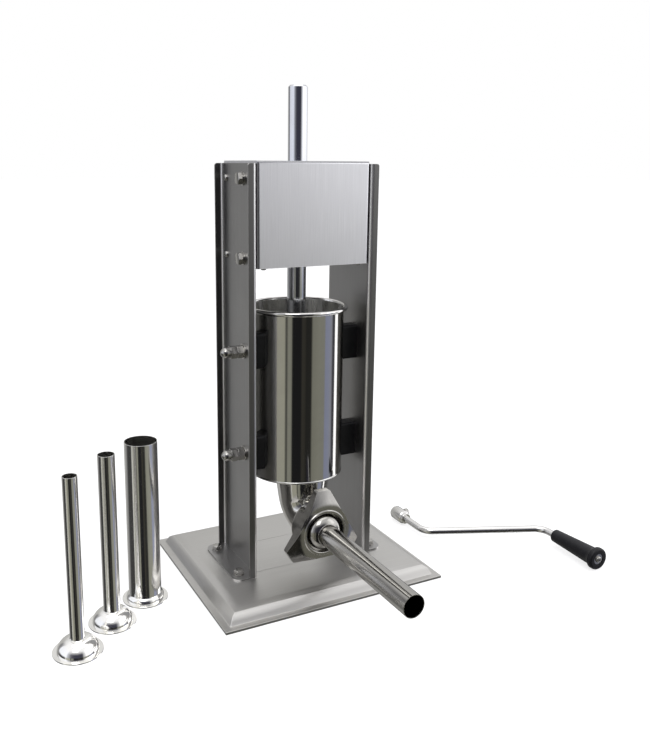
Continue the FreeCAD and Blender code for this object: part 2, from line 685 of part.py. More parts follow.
# ---- cylinder and outlet ------------------------------------------------------------------
def cylinder_barrel():
    """Thin tube with a rolled rim and a faint bead round its foot."""
    inner = CYL_R - CYL_WALL
    bead_z = CYL_TOP - BEAD_R
    bead_mid = inner + BEAD_R + 0.2
    wall = revolve([(inner, CYL_BOTTOM), (CYL_R, CYL_BOTTOM), (CYL_R, bead_z), (inner, bead_z)],
                   Vec(0, AXIS_Y, 0))
    bead = Part.makeTorus(bead_mid, BEAD_R, Vec(0, AXIS_Y, bead_z), Z)
    foot = revolve([(inner, CYL_BOTTOM), (CYL_R, CYL_BOTTOM), (CYL_R + 0.8, CYL_BOTTOM + 1.5, "via"),
                    (CYL_R, CYL_BOTTOM + 3), (inner, CYL_BOTTOM + 3)], Vec(0, AXIS_Y, 0))
    return union([wall, bead, foot])


def cylinder_floor():
    """Flat floor with the elbow's mouth ahead of its centre."""
    floor = rod(CYL_R - CYL_WALL, (0, AXIS_Y, CYL_BOTTOM), (0, AXIS_Y, CYL_BOTTOM + FLOOR_T))
    hole = ELBOW_RADII[0] - ELBOW_T
    return floor.cut(rod(hole, (0, ELBOW_Y, CYL_BOTTOM - 1), (0, ELBOW_Y, CYL_BOTTOM + FLOOR_T + 1)))


def elbow_sections(wall):
    """Circles from the barrel's floor straight down and round to the collar, shrinking on the way."""
    bend = ELBOW_Y - ELBOW_END
    turn_z = ELBOW_Z + bend
    down = Vec(0, 0, -1)
    places = [(Vec(0, ELBOW_Y, CYL_BOTTOM), down), (Vec(0, ELBOW_Y, (CYL_BOTTOM + turn_z) / 2), down)]
    steps = len(ELBOW_RADII) - len(places) - 1
    for k in range(steps + 1):
        angle = math.radians(90.0 * k / steps)
        point = Vec(0, ELBOW_END + bend * math.cos(angle), turn_z - bend * math.sin(angle))
        places.append((point, Vec(0, -math.sin(angle), -math.cos(angle))))
    return [Part.Wire(Part.makeCircle(radius - wall, point, normal))
            for radius, (point, normal) in zip(ELBOW_RADII, places)]


def outlet_elbow():
    outer = Part.makeLoft(elbow_sections(0.0), True, False)
    return outer.cut(Part.makeLoft(elbow_sections(ELBOW_T), True, False))


def outlet_collar():
    """Flanged spigot with flat-topped thread ridges."""
    outside = ELBOW_RADII[-1]
    bore = outside - ELBOW_T
    length = ELBOW_END - COLLAR_FACE
    root = THREAD_R - 1.6
    outline = [(bore, 0), (outside, 0), (COLLAR_R, 1.5), (COLLAR_R, 5.0), (root, 5.0)]
    start = 7.0
    ridges = int((length - start - 2) / THREAD_PITCH)
    for k in range(ridges):
        h = start + k * THREAD_PITCH
        outline += [(root, h), (THREAD_R, h + 1.2), (THREAD_R, h + 1.8), (root, h + 3.0)]
    outline += [(root, length), (bore, length)]
    return revolve(outline, Vec(0, ELBOW_END, ELBOW_Z), Vec(0, -1, 0))


def lug(level):
    """A block that carries the barrel from the right-hand column's web."""
    z = STUD_Z[level]
    half_y, half_z = LUG_SIZE[0] / 2, LUG_SIZE[1] / 2
    block = box((60, STUD_Y - half_y, z - half_z), (COL_IN, STUD_Y + half_y, z + half_z))
    edges = [e for e in block.Edges if runs_along(e, X)]
    block = block.makeFillet(4.0, edges)
    block = block.cut(rod(CYL_R, (0, AXIS_Y, z - 40), (0, AXIS_Y, z + 40)))
    return block.cut(rod(STUD_R, (STUD_FROM, STUD_Y, z), (COL_IN + 1, STUD_Y, z)))


def stack(build):
    """One shape per lug stud, both levels and both sides."""
    shapes = []
    for z in STUD_Z.values():
        shapes += both_sides(build(z))
    return shapes


def lug_studs():
    return stack(lambda z: rod(STUD_R, (STUD_FROM, STUD_Y, z), (WEB_OUT + 24, STUD_Y, z)))


def stud_washers():
    return stack(lambda z: ring(11.0, STUD_R, (WEB_OUT, STUD_Y, z), (WEB_OUT + 2.5, STUD_Y, z)))


def stud_nuts():
    def nut(z):
        body = hexagon(STUD_HEX, (WEB_OUT + 2.5, STUD_Y, z), (WEB_OUT + 12.5, STUD_Y, z), 30)
        return body.cut(rod(STUD_R, (WEB_OUT + 1, STUD_Y, z), (WEB_OUT + 14, STUD_Y, z)))
    return stack(nut)


def acorn_nuts():
    def nut(z):
        body = hexagon(STUD_HEX, (WEB_OUT + 12.5, STUD_Y, z), (WEB_OUT + 22.5, STUD_Y, z), 30)
        dome = revolve([(0, -1), (7.9, -1), (7.9, 5), (5.9, 10.6, "via"), (1.0, 13.5), (0, 13.5)],
                       Vec(WEB_OUT + 22.5, STUD_Y, z), X)
        return union([body, dome]).cut(rod(STUD_R, (WEB_OUT + 11, STUD_Y, z), (WEB_OUT + 24, STUD_Y, z)))
    return stack(nut)


# ---- stuffing tubes and wing nut ----------------------------------------------------------
def tube_profile(radius, length):
    """Half section of a flanged, domed stuffing tube, as (radius, height) from its flange face."""
    bore = radius - TUBE_WALL
    t = TUBE_FLANGE_T
    step = (DOME_R - radius) * 0.55
    top = min(DOME_H, 4.0 + 1.4 * (DOME_R - radius))
    outer = [(TUBE_FLANGE_R, 0), (TUBE_FLANGE_R, t), (DOME_R, t),
             (DOME_R - step * 0.42, t + (top - t) * 0.62, "via"), (radius + 0.4, top),
             (radius, top + 1.2), (radius, length)]
    inner = [(bore, length), (bore, top - 0.4),
             (DOME_R - step * 0.42 - t, t + (top - t) * 0.52, "via"), (DOME_R - t, 0)]
    return outer + inner


def stuffing_tube(radius, length, base, axis):
    return revolve(tube_profile(radius, length), Vec(*base), axis)


def tube_gasket():
    return ring(TUBE_FLANGE_R, ELBOW_RADII[-1] - ELBOW_T, (0, COLLAR_FACE, ELBOW_Z),
                (0, COLLAR_FACE - GASKET_T, ELBOW_Z))


def wing_blade():
    """The three wings as one plate, its front sloping back to their ends, with slightly hollow sides."""
    edges = []
    ends = []
    for angle in NUT_WING_ANGLES:
        turn = Base.Rotation(Z, angle - 90)
        ends.append([turn.multVec(Vec(side * NUT_WING_HALF, NUT_WING_R, 0)) for side in (1, -1)])
    for k, (first, second) in enumerate(ends):
        follower = ends[(k + 1) % len(ends)][0]
        edges.append(Part.LineSegment(first, second).toShape())
        middle = (second + follower) * 0.5
        waist = middle.normalize() * (NUT_HUB_R - 1.5)
        edges.append(Part.Arc(second, waist, follower).toShape())
    blade = Part.Face(Part.Wire(edges)).extrude(Vec(0, 0, NUT_WING_DEPTH))
    corners = [e for e in blade.Edges if is_upright(e)]
    blade = blade.makeFillet(3.0, corners)
    outer = NUT_WING_R + 8
    front = revolve([(0, 0), (NUT_HUB_R + 1, 0), (outer, 9.5), (outer, NUT_WING_DEPTH), (0, NUT_WING_DEPTH)])
    return blade.common(front)


def wing_nut():
    """Cast nut with three wings; the smooth bore clears the collar's thread ridges."""
    depth = NUT_BACK - NUT_FRONT
    shoulder = COLLAR_FACE - GASKET_T - TUBE_FLANGE_T - 0.1 - NUT_FRONT
    lip = NUT_MOUTH_R + 5.0
    body = revolve([(0, 0), (lip - 1.2, 0), (lip, 1.2), (lip, 3), (NUT_HUB_R, 3),
                    (NUT_HUB_R, depth - 2), (NUT_HUB_R - 2, depth), (0, depth)])
    blade = wing_blade()
    blade.translate(Vec(0, 0, 1.2))
    body = union([body, blade])
    body = body.cut(rod(NUT_MOUTH_R, (0, 0, -1), (0, 0, depth)))
    body = body.cut(rod(NUT_BORE_R, (0, 0, shoulder), (0, 0, depth + 1)))
    mouth = [e for e in body.Edges if e.Closed and abs(e.BoundBox.XLength - 2 * NUT_MOUTH_R) < 0.1
             and abs(e.CenterOfMass.z) < 0.1]
    body = body.makeFillet(1.5, mouth)
    # The nut's own Z becomes +Y, and its own Y becomes +Z, seen from the front.
    placed = body.mirror(ORIGIN, Z)
    placed.rotate(ORIGIN, X, 90)
    placed.translate(Vec(0, NUT_FRONT, ELBOW_Z))
    return placed


# ---- loose crank --------------------------------------------------------------------------
def crank_place(shape):
    """From the crank's own frame (socket axis at the origin, arm along +X) to where it lies."""
    shape.rotate(ORIGIN, Y, -CRANK_TILT)
    shape.translate(Vec(CRANK_X, 0, CRANK_Z))
    return shape


def crank_bar():
    """Bent round bar from the socket to the grip."""
    points = [Vec(0, 30, 0), Vec(0, -28, 0), Vec(CRANK_RADIUS, -118, 0), Vec(CRANK_RADIUS, BAR_END, 0)]
    edges = []
    start = points[0]
    for before, corner, after in zip(points, points[1:], points[2:]):
        u = (before - corner).normalize()
        v = (after - corner).normalize()
        half = math.acos(u.dot(v)) / 2
        reach = BAR_BEND_R / math.tan(half)
        centre = corner + (u + v).normalize() * (BAR_BEND_R / math.sin(half))
        a, c = corner + u * reach, corner + v * reach
        middle = centre + (corner - centre).normalize() * BAR_BEND_R
        edges.append(Part.LineSegment(start, a).toShape())
        edges.append(Part.Arc(a, middle, c).toShape())
        start = c
    edges.append(Part.LineSegment(start, points[-1]).toShape())
    path = Part.Wire(edges)
    circle = Part.Wire(Part.makeCircle(CRANK_ROD_R, points[0], Vec(0, -1, 0)))
    bar = path.makePipeShell([circle], True, False)
    bar = bar.cut(rod(SCREW_R, (CRANK_RADIUS, GRIP_FAR + 22, 0), (CRANK_RADIUS, GRIP_FAR - 5, 0)))
    return crank_place(bar)


def crank_socket():
    """Bored hub for a gear shaft, with a turned neck where the bar enters."""
    length = SOCKET_MOUTH - SOCKET_BACK
    body = revolve([(0, 0), (8.5, 0), (9.5, 1), (9.5, 5), (SOCKET_R, 7), (SOCKET_R, length - 2),
                    (SOCKET_R - 1, length), (0, length)], Vec(0, SOCKET_BACK, 0), Y)
    body = body.cut(rod(SHAFT_R + 0.1, (0, SOCKET_BACK + 6, 0), (0, SOCKET_MOUTH + 1, 0)))
    body = body.cut(rod(CRANK_ROD_R, (0, SOCKET_BACK - 1, 0), (0, 30, 0)))
    body = body.cut(rod(3.0, (6, SET_SCREW_Y, 0), (12, SET_SCREW_Y, 0)))
    return crank_place(body)


def crank_set_screw():
    """Thumb screw that clamps the socket to a gear shaft."""
    screw = rod(3.0, (6.4, SET_SCREW_Y, 0), (14.0, SET_SCREW_Y, 0))
    head = revolve([(0, 0), (6, 0), (6.6, 1), (6.6, 5), (6, 6), (0, 6)], Vec(11.8, SET_SCREW_Y, 0), X)
    return crank_place(union([screw, head]))


def crank_grip():
    """Tapered moulded grip with a flared end and a recess for its screw."""
    length = GRIP_NEAR - GRIP_FAR
    bore = CRANK_ROD_R + 0.08
    outline = [(bore, 0), (8.6, 0), (9.8, 0.6, "via"), (10.4, 2.2), (14.0, length - 14),
               (15.0, length - 11.5, "via"), (17.5, length - 8), (17.5, length - 4),
               (16.6, length - 1, "via"), (14.0, length), (9.2, length), (9.2, length - 3.0),
               (bore, length - 3.0)]
    return crank_place(revolve(outline, Vec(CRANK_RADIUS, GRIP_NEAR, 0), Vec(0, -1, 0)))


def grip_screw():
    """Pan head screw and washer that keep the grip on the bar."""
    face = BAR_END - 1.5
    washer = ring(8.4, SCREW_R, (CRANK_RADIUS, BAR_END, 0), (CRANK_RADIUS, face, 0))
    screw = pan_head(5.0, 3.0, SCREW_R, (CRANK_RADIUS, face, 0), (0, -1, 0), 17.0)
    return crank_place(union([washer, screw]))


# ---- assembly -----------------------------------------------------------------------------
def write(name, shapes):
    if not isinstance(shapes, list):
        shapes = [shapes]
    for shape in shapes:
        if not shape.isValid():
            print("not valid:", name)
    solids = [solid for shape in shapes for solid in shape.Solids]
    whole = solids[0] if len(solids) == 1 else Part.makeCompound(solids)
    whole.exportStep("parts/" + name + ".step")
    size = whole.BoundBox
    print(f"{name:24s} solids {len(solids):2d}  volume {whole.Volume / 1000:9.2f} cm3  "
          f"x {size.XMin:7.1f} {size.XMax:7.1f}  y {size.YMin:7.1f} {size.YMax:7.1f}  "
          f"z {size.ZMin:6.1f} {size.ZMax:6.1f}")


def main():
    os.makedirs("parts", exist_ok=True)
    bush_holes = [(BUSH_R, FAST_Y, FAST_Z), (BUSH_R, FAST_Y, SLOW_Z)]
    shaft_left = -COL_IN + 0.5
    clip_places = (-83.5, 82.3)

    write("base_plate", base_plate())
    write("rubber_feet", rubber_feet())
    write("left_column", column([]).mirror(ORIGIN, X))
    write("right_column", column(bush_holes))
    write("foot_bolts", foot_bolts())
    write("foot_washers", foot_washers())
    write("foot_nuts", foot_nuts())

    write("gearbox_left_plate", gearbox_plate(bush_holes).mirror(ORIGIN, X))
    write("gearbox_right_plate", gearbox_plate(bush_holes))
    write("lower_cross_member", cross_member(CROSS_LOW))
    write("upper_cross_member", cross_member(CROSS_HIGH))
    write("rod_guide_lower", rod_guide(CROSS_LOW, True))
    write("rod_guide_upper", rod_guide(CROSS_HIGH, False))
    write("gearbox_cover", gearbox_cover())
    write("gearbox_tray", gearbox_tray())
    write("tray_screws", tray_screws())
    write("cover_screws", cover_screws())
    write("gearbox_bolts", gearbox_bolts())
    write("gearbox_bolt_washers", gearbox_bolt_washers())
    write("gearbox_screws", gearbox_screws())
    write("shaft_bushes", shaft_bushes())

    pins = Part.makeCompound(gear_pins(FAST_PINS))
    write("fast_shaft", shaft(FAST_Z, shaft_left).cut(pins))
    write("rack_pinion", rack_pinion().cut(pins))
    write("large_gear", large_gear().cut(pins))
    write("fast_gear_pins", gear_pins(FAST_PINS))
    write("fast_shaft_circlips", shaft_circlips(FAST_Z, clip_places))
    pins = Part.makeCompound(gear_pins(SLOW_PINS))
    write("slow_shaft", shaft(SLOW_Z, shaft_left).cut(pins))
    write("slow_pinion", slow_pinion().cut(pins))
    write("slow_gear_pin", gear_pins(SLOW_PINS))
    write("slow_shaft_circlips", shaft_circlips(SLOW_Z, clip_places))

    write("press_rod", press_rod())
    write("piston_lower_plate", piston_lower_plate())
    write("piston_seal", piston_seal())
    write("piston_upper_plate", piston_upper_plate())
    write("piston_nut", piston_nut())
    write("air_valve_seat", air_valve_seat())
    write("air_valve_pin", air_valve_pin())

    write("cylinder_barrel", cylinder_barrel())
    write("cylinder_floor", cylinder_floor())
    write("outlet_elbow", outlet_elbow())
    write("outlet_collar", outlet_collar())
    write("upper_lugs", both_sides(lug("upper")))
    write("lower_lugs", both_sides(lug("lower")))
    write("lug_studs", lug_studs())
    write("stud_washers", stud_washers())
    write("stud_nuts", stud_nuts())
    write("acorn_nuts", acorn_nuts())

    flange_face = (0, COLLAR_FACE - GASKET_T, ELBOW_Z)
    write("stuffing_tube", stuffing_tube(TUBE_R, TUBE_LENGTH, flange_face, Vec(0, -1, 0)))
    write("tube_gasket", tube_gasket())
    write("wing_nut", wing_nut())
    for name, (x, y, radius, height) in SPARE_TUBES.items():
        write(name, stuffing_tube(radius, height, (x, y, 0), Z))

    write("crank_bar", crank_bar())
    write("crank_socket", crank_socket())
    write("crank_set_screw", crank_set_screw())
    write("crank_grip", crank_grip())
    write("grip_screw", grip_screw())


main()
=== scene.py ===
"""Looks of the vertical sausage stuffer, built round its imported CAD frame. Metres, +Z up."""

import json
import math

import bpy
from mathutils import Matrix, Vector

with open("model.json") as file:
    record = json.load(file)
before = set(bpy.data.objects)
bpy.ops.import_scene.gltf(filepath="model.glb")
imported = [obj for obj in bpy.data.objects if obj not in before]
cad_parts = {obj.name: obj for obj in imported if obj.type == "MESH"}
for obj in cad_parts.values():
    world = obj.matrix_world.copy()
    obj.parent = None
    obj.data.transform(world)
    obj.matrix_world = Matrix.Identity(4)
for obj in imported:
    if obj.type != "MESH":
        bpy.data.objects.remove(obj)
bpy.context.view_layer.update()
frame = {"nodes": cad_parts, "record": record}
NODES = frame["nodes"]
SCENE = bpy.context.scene

MM = 0.001
WHITE = (1, 1, 1, 1)
SHARP_TURN = math.radians(32)      # a fold sharper than this is an edge
WELD_GAP = 0.000002

BARREL_Y = -0.004                  # the barrel's axis
BARREL_BORE = (0.0701, 0.0707)     # radii in its wall, where the inside's finish gives way to the outside's
BARREL_LIP = (0.4125, 0.4135)      # heights at which it gives way to the rolled rim's

# ---- camera -------------------------------------------------------------------------------
CAMERA_PLACE = (-0.5399, -1.0677, 0.6196)
CAMERA_YAW = 26.68         # degrees, to the right of +Y
CAMERA_PITCH = -11.27
CAMERA_ROLL = 0.38
CAMERA_LENS = 38.825       # on a 36 mm tall sensor
CAMERA_SHIFT = (0.0426, -0.0659)


def make_camera():
    yaw, pitch, roll = (math.radians(v) for v in (CAMERA_YAW, CAMERA_PITCH, CAMERA_ROLL))
    ahead = Vector((math.sin(yaw) * math.cos(pitch), math.cos(yaw) * math.cos(pitch), math.sin(pitch)))
    level = ahead.cross(Vector((0, 0, 1))).normalized()
    over = level.cross(ahead)
    right = level * math.cos(roll) + over * math.sin(roll)
    up = right.cross(ahead)
    data = bpy.data.cameras.new("camera")
    data.sensor_fit = "VERTICAL"
    data.sensor_height = 36.0
    data.lens = CAMERA_LENS
    data.shift_x, data.shift_y = CAMERA_SHIFT
    data.clip_end = 60.0
    camera = bpy.data.objects.new("camera", data)
    turn = Matrix((right, up, -ahead)).transposed().to_4x4()
    camera.matrix_world = Matrix.Translation(CAMERA_PLACE) @ turn
    SCENE.collection.objects.link(camera)
    SCENE.camera = camera


# ---- node helpers -------------------------------------------------------------------------
class Shader:
    """A material being built: short names for the nodes that every finish here uses."""

    def __init__(self, name):
        self.material = bpy.data.materials.new(name)
        self.material.use_nodes = True
        self.tree = self.material.node_tree
        self.bsdf = self.tree.nodes["Principled BSDF"]
        self.place = self.tree.nodes.new("ShaderNodeTexCoord").outputs["Object"]

    def link(self, source, target):
        self.tree.links.new(source, target)

    def stretched(self, scale):
        node = self.tree.nodes.new("ShaderNodeMapping")
        self.link(self.place, node.inputs["Vector"])
        node.inputs["Scale"].default_value = scale
        return node.outputs["Vector"]

    def noise(self, vector, scale, detail=4.0, rough=0.55, distortion=0.0):
        node = self.tree.nodes.new("ShaderNodeTexNoise")
        self.link(vector, node.inputs["Vector"])
        node.inputs["Scale"].default_value = scale
        node.inputs["Detail"].default_value = detail
        node.inputs["Roughness"].default_value = rough
        node.inputs["Distortion"].default_value = distortion
        return node.outputs["Fac"]

    def band(self, value, low, high, to_low, to_high):
        node = self.tree.nodes.new("ShaderNodeMapRange")
        self.link(value, node.inputs["Value"])
        for key, number in (("From Min", low), ("From Max", high), ("To Min", to_low), ("To Max", to_high)):
            node.inputs[key].default_value = number
        return node.outputs["Result"]

    def math(self, kind, a, b):
        node = self.tree.nodes.new("ShaderNodeMath")
        node.operation = kind
        for socket, value in zip(node.inputs, (a, b)):
            if isinstance(value, (int, float)):
                socket.default_value = value
            else:
                self.link(value, socket)
        return node.outputs[0]

    def mix(self, factor, dark, light):
        node = self.tree.nodes.new("ShaderNodeMix")
        node.data_type = "RGBA"
        self.link(factor, node.inputs["Factor"])
        for key, colour in (("A", dark), ("B", light)):
            socket = [s for s in node.inputs if s.name == key and s.type == "RGBA"][0]
            if isinstance(colour, tuple):
                socket.default_value = (*colour, 1.0)
            else:
                self.link(colour, socket)
        return [s for s in node.outputs if s.type == "RGBA"][0]

    def blend(self, factor, first, second):
        """The same between two numbers."""
        node = self.tree.nodes.new("ShaderNodeMix")
        for slot, value in ((0, factor), (2, first), (3, second)):
            self.link(value, node.inputs[slot])
        return node.outputs[0]

    def dim(self, colour, factor):
        """The colour times a plain number."""
        node = self.tree.nodes.new("ShaderNodeVectorMath")
        node.operation = "SCALE"
        self.link(colour, node.inputs[0])
        node.inputs["Scale"].default_value = factor
        return node.outputs["Vector"]

    def edge_mask(self, radius):
        """1 on worn outer edges, 0 on flats, from how far a rounded normal leans from the true one."""
        bevel = self.tree.nodes.new("ShaderNodeBevel")
        bevel.samples = 4
        bevel.inputs["Radius"].default_value = radius
        true = self.tree.nodes.new("ShaderNodeNewGeometry").outputs["Normal"]
        dot = self.tree.nodes.new("ShaderNodeVectorMath")
        dot.operation = "DOT_PRODUCT"
        self.link(bevel.outputs["Normal"], dot.inputs[0])
        self.link(true, dot.inputs[1])
        return self.band(dot.outputs["Value"], 1.0, 0.86, 0.0, 1.0)

    def between_faces(self):
        """1 on the rounds between faces that look along an axis, which are the folds; 0 on those faces."""
        split = self.tree.nodes.new("ShaderNodeSeparateXYZ")
        self.link(self.tree.nodes.new("ShaderNodeTexCoord").outputs["Normal"], split.inputs[0])
        squares = [self.math("POWER", self.math("ABSOLUTE", split.outputs[k], 0.0), 2.0) for k in range(3)]
        most = self.math("MAXIMUM", self.math("MAXIMUM", squares[0], squares[1]), squares[2])
        return self.band(most, 0.995, 0.80, 0.0, 1.0)

    def facing(self, axis):
        """1 where a face looks along an axis, 0 where it looks across it."""
        split = self.tree.nodes.new("ShaderNodeSeparateXYZ")
        self.link(self.tree.nodes.new("ShaderNodeTexCoord").outputs["Normal"], split.inputs[0])
        square = self.math("POWER", self.math("ABSOLUTE", split.outputs[axis], 0.0), 2.0)
        return self.band(square, 0.80, 0.97, 0.0, 1.0)

    def bump(self, height, strength, distance=0.0002):
        node = self.tree.nodes.new("ShaderNodeBump")
        node.inputs["Strength"].default_value = strength
        node.inputs["Distance"].default_value = distance
        self.link(height, node.inputs["Height"])
        self.link(node.outputs["Normal"], self.bsdf.inputs["Normal"])

    def colour(self, socket):
        self.link(socket, self.bsdf.inputs["Base Color"])

    def roughness(self, socket):
        self.link(socket, self.bsdf.inputs["Roughness"])


def tint(colour, factor):
    return tuple(min(1.0, c * factor) for c in colour)


# ---- finishes -----------------------------------------------------------------------------
def brushed_metal(name, colour, grain, rough, depth=0.12, blotch=7.0, fold_light=1.0, painted_shade=None):
    """Sheet metal brushed along one axis: fine drawn lines, faint smudges, brighter worn edges.

    The fold tint paints the folds, a painted highlight above 1 and painted shade below 1. The shade is an
    axis, how bright faces that look along it are painted, and how bright the rest: painted shade.
    """
    s = Shader(name)
    s.bsdf.inputs["Metallic"].default_value = 1.0
    across = [1400.0, 1400.0, 1400.0]
    across["XYZ".index(grain)] = 14.0
    lines = s.noise(s.stretched(across), 1.0, 5.0, 0.6)
    broad = [260.0, 260.0, 260.0]
    broad["XYZ".index(grain)] = 3.0
    streaks = s.noise(s.stretched(broad), 1.0, 3.0, 0.5)
    smudges = s.noise(s.place, blotch, 5.0, 0.6, 0.4)
    base = s.mix(s.band(lines, 0.25, 0.75, 0.0, 1.0), tint(colour, 0.90), tint(colour, 1.08))
    smudged_and_shaded = s.mix(s.band(smudges, 0.35, 0.75, 0.0, 0.22), base, tint(colour, 0.82))
    # Painted shade: faces that look along the axis get one brightness, the rest another, on top of the
    # smudges.
    if painted_shade:
        axis, along, aside = painted_shade
        smudged_and_shaded = s.mix(s.facing(axis), s.dim(smudged_and_shaded, aside), s.dim(smudged_and_shaded, along))
    # Painted light on the folds: a painted highlight where the fold tint is above 1, painted shade where it
    # is below 1.
    with_fold_light = s.mix(s.between_faces(), smudged_and_shaded, tint(colour, fold_light))
    s.colour(s.mix(s.edge_mask(0.0009), with_fold_light, tint(colour, 1.22)))
    fine = s.band(lines, 0.2, 0.8, rough - 0.05, rough + 0.09)
    wide = s.band(streaks, 0.3, 0.7, -0.035, 0.035)
    patch = s.band(smudges, 0.35, 0.8, 0.0, 0.07)
    s.roughness(s.math("ADD", s.math("ADD", fine, wide), patch))
    s.bump(s.math("ADD", lines, s.math("MULTIPLY", streaks, 0.6)), depth, 0.00008)
    return s.material


def buffed(name, colour, rough, smear, lathe, ripple):
    """Buffed stainless: near mirror, with faint handling marks, hairlines and slow ripples.

    Gives the shader, its colour and its roughness, neither of them connected yet.
    """
    s = Shader(name)
    s.bsdf.inputs["Metallic"].default_value = 1.0
    smudges = s.noise(s.place, 16.0, 6.0, 0.62, 0.8)
    specks = s.noise(s.place, 900.0, 2.0, 0.5)
    scale = [520.0, 520.0, 520.0]
    if lathe:
        scale = [7.0, 7.0, 7.0]
        scale["XYZ".index(lathe)] = 1600.0
    hair = s.noise(s.stretched(scale), 1.0, 3.0, 0.6)
    base = s.mix(s.band(smudges, 0.3, 0.75, 0.0, 1.0), tint(colour, 1.03), tint(colour, 0.93))
    skin = s.mix(s.edge_mask(0.0006), base, tint(colour, 1.15))
    handled = s.band(smudges, 0.4, 0.8, rough, rough + smear)
    dusty = s.band(specks, 0.62, 0.8, 0.0, 0.05)
    shine = s.math("ADD", s.math("ADD", handled, dusty), s.band(hair, 0.45, 0.8, 0.0, 0.04))
    waves = s.noise(s.place, 28.0, 1.0, 0.4)
    s.bump(s.math("ADD", s.math("MULTIPLY", hair, 0.25), waves), ripple, 0.0004)
    return s, skin, shine


def polished_metal(name, colour, rough, smear=0.07, lathe=None, ripple=0.02):
    s, skin, shine = buffed(name, colour, rough, smear, lathe, ripple)
    s.colour(skin)
    s.roughness(shine)
    return s.material


def polished_barrel():
    """Mirror buffed outside. Inside, drawn streaks and round marks catch light from the filling gap."""
    s, skin, shine = buffed("polished_barrel", (0.68, 0.672, 0.65), 0.045, 0.05, "Z", 0.02)
    split = s.tree.nodes.new("ShaderNodeSeparateXYZ")
    s.link(s.place, split.inputs[0])
    across = s.math("POWER", s.math("ABSOLUTE", split.outputs["X"], 0.0), 2.0)
    along = s.math("POWER", s.math("ABSOLUTE", s.math("SUBTRACT", split.outputs["Y"], BARREL_Y), 0.0), 2.0)
    out = s.math("SQRT", s.math("ADD", across, along), 0.0)
    inside = s.math("MULTIPLY", s.band(out, *BARREL_BORE, 1.0, 0.0),
                    s.band(split.outputs["Z"], *BARREL_LIP, 1.0, 0.0))
    marks = s.noise(s.stretched((6.0, 6.0, 900.0)), 1.0, 4.0)
    drawn = s.band(s.noise(s.stretched((34.0, 34.0, 0.6)), 1.0, 3.0), 0.48, 0.62, 0.0, 1.0)
    dull = s.math("MULTIPLY", s.math("MULTIPLY", inside, drawn), 0.7)
    s.link(s.math("SUBTRACT", 1.0, dull), s.bsdf.inputs["Metallic"])
    s.roughness(s.blend(inside, shine, s.band(marks, 0.3, 0.7, 0.10, 0.26)))
    s.colour(s.mix(inside, skin, (0.86, 0.855, 0.83)))
    return s.material


def cast_metal(name, colour, rough):
    """Tumbled casting: soft orange-peel skin, darker in broad random patches, bright on its edges."""
    s = Shader(name)
    s.bsdf.inputs["Metallic"].default_value = 1.0
    peel = s.noise(s.place, 240.0, 4.0, 0.6)
    patches = s.noise(s.place, 34.0, 5.0, 0.6, 0.6)
    base = s.mix(s.band(patches, 0.3, 0.7, 0.0, 1.0), tint(colour, 1.04), tint(colour, 0.85))
    s.colour(s.mix(s.edge_mask(0.0014), base, tint(colour, 1.25)))
    worn = s.band(patches, 0.35, 0.75, rough, rough + 0.12)
    s.roughness(s.math("ADD", worn, s.band(peel, 0.4, 0.7, 0.0, 0.06)))
    s.bump(s.math("ADD", peel, s.math("MULTIPLY", patches, 1.5)), 0.18, 0.0002)
    return s.material


def greased_steel(name, colour):
    s = Shader(name)
    s.bsdf.inputs["Metallic"].default_value = 0.9
    film = s.noise(s.place, 60.0, 5.0, 0.6, 1.2)
    marks = s.noise(s.stretched((30.0, 900.0, 900.0)), 1.0, 3.0)
    s.colour(s.mix(s.band(film, 0.42, 0.62, 0.0, 1.0), colour, (0.20, 0.15, 0.08)))
    s.roughness(s.band(film, 0.4, 0.65, 0.38, 0.16))
    s.bump(s.math("ADD", film, marks), 0.25, 0.0003)
    return s.material


def moulded(name, colour, rough, pebble, depth=0.3, sheen=0.0, shine=0.5):
    """Moulded plastic, rubber or silicone with a fine grain and handled, shinier patches."""
    s = Shader(name)
    grain = s.noise(s.place, pebble, 4.0, 0.65)
    wear = s.noise(s.place, 45.0, 5.0, 0.6, 0.7)
    base = s.mix(s.band(wear, 0.3, 0.75, 0.0, 1.0), colour, tuple(c * 1.5 + 0.006 for c in colour))
    s.colour(s.mix(s.edge_mask(0.0008), base, tuple(min(1.0, c * 2.0 + 0.02) for c in colour)))
    handled = s.band(wear, 0.3, 0.75, rough, rough - 0.1)
    s.roughness(s.math("ADD", handled, s.band(grain, 0.3, 0.7, -0.04, 0.06)))
    s.bump(grain, depth, 0.00025)
    s.bsdf.inputs["Specular IOR Level"].default_value = shine
    s.bsdf.inputs["Sheen Weight"].default_value = sheen
    return s.material


def sintered(name, colour):
    s = Shader(name)
    s.bsdf.inputs["Metallic"].default_value = 1.0
    pores = s.noise(s.place, 1500.0, 3.0, 0.6)
    tarnish = s.noise(s.place, 70.0, 5.0)
    s.colour(s.mix(s.band(tarnish, 0.3, 0.7, 0.0, 1.0), colour, tint(colour, 0.6)))
    s.roughness(s.band(pores, 0.3, 0.7, 0.28, 0.5))
    s.bump(pores, 0.3, 0.0001)
    return s.material


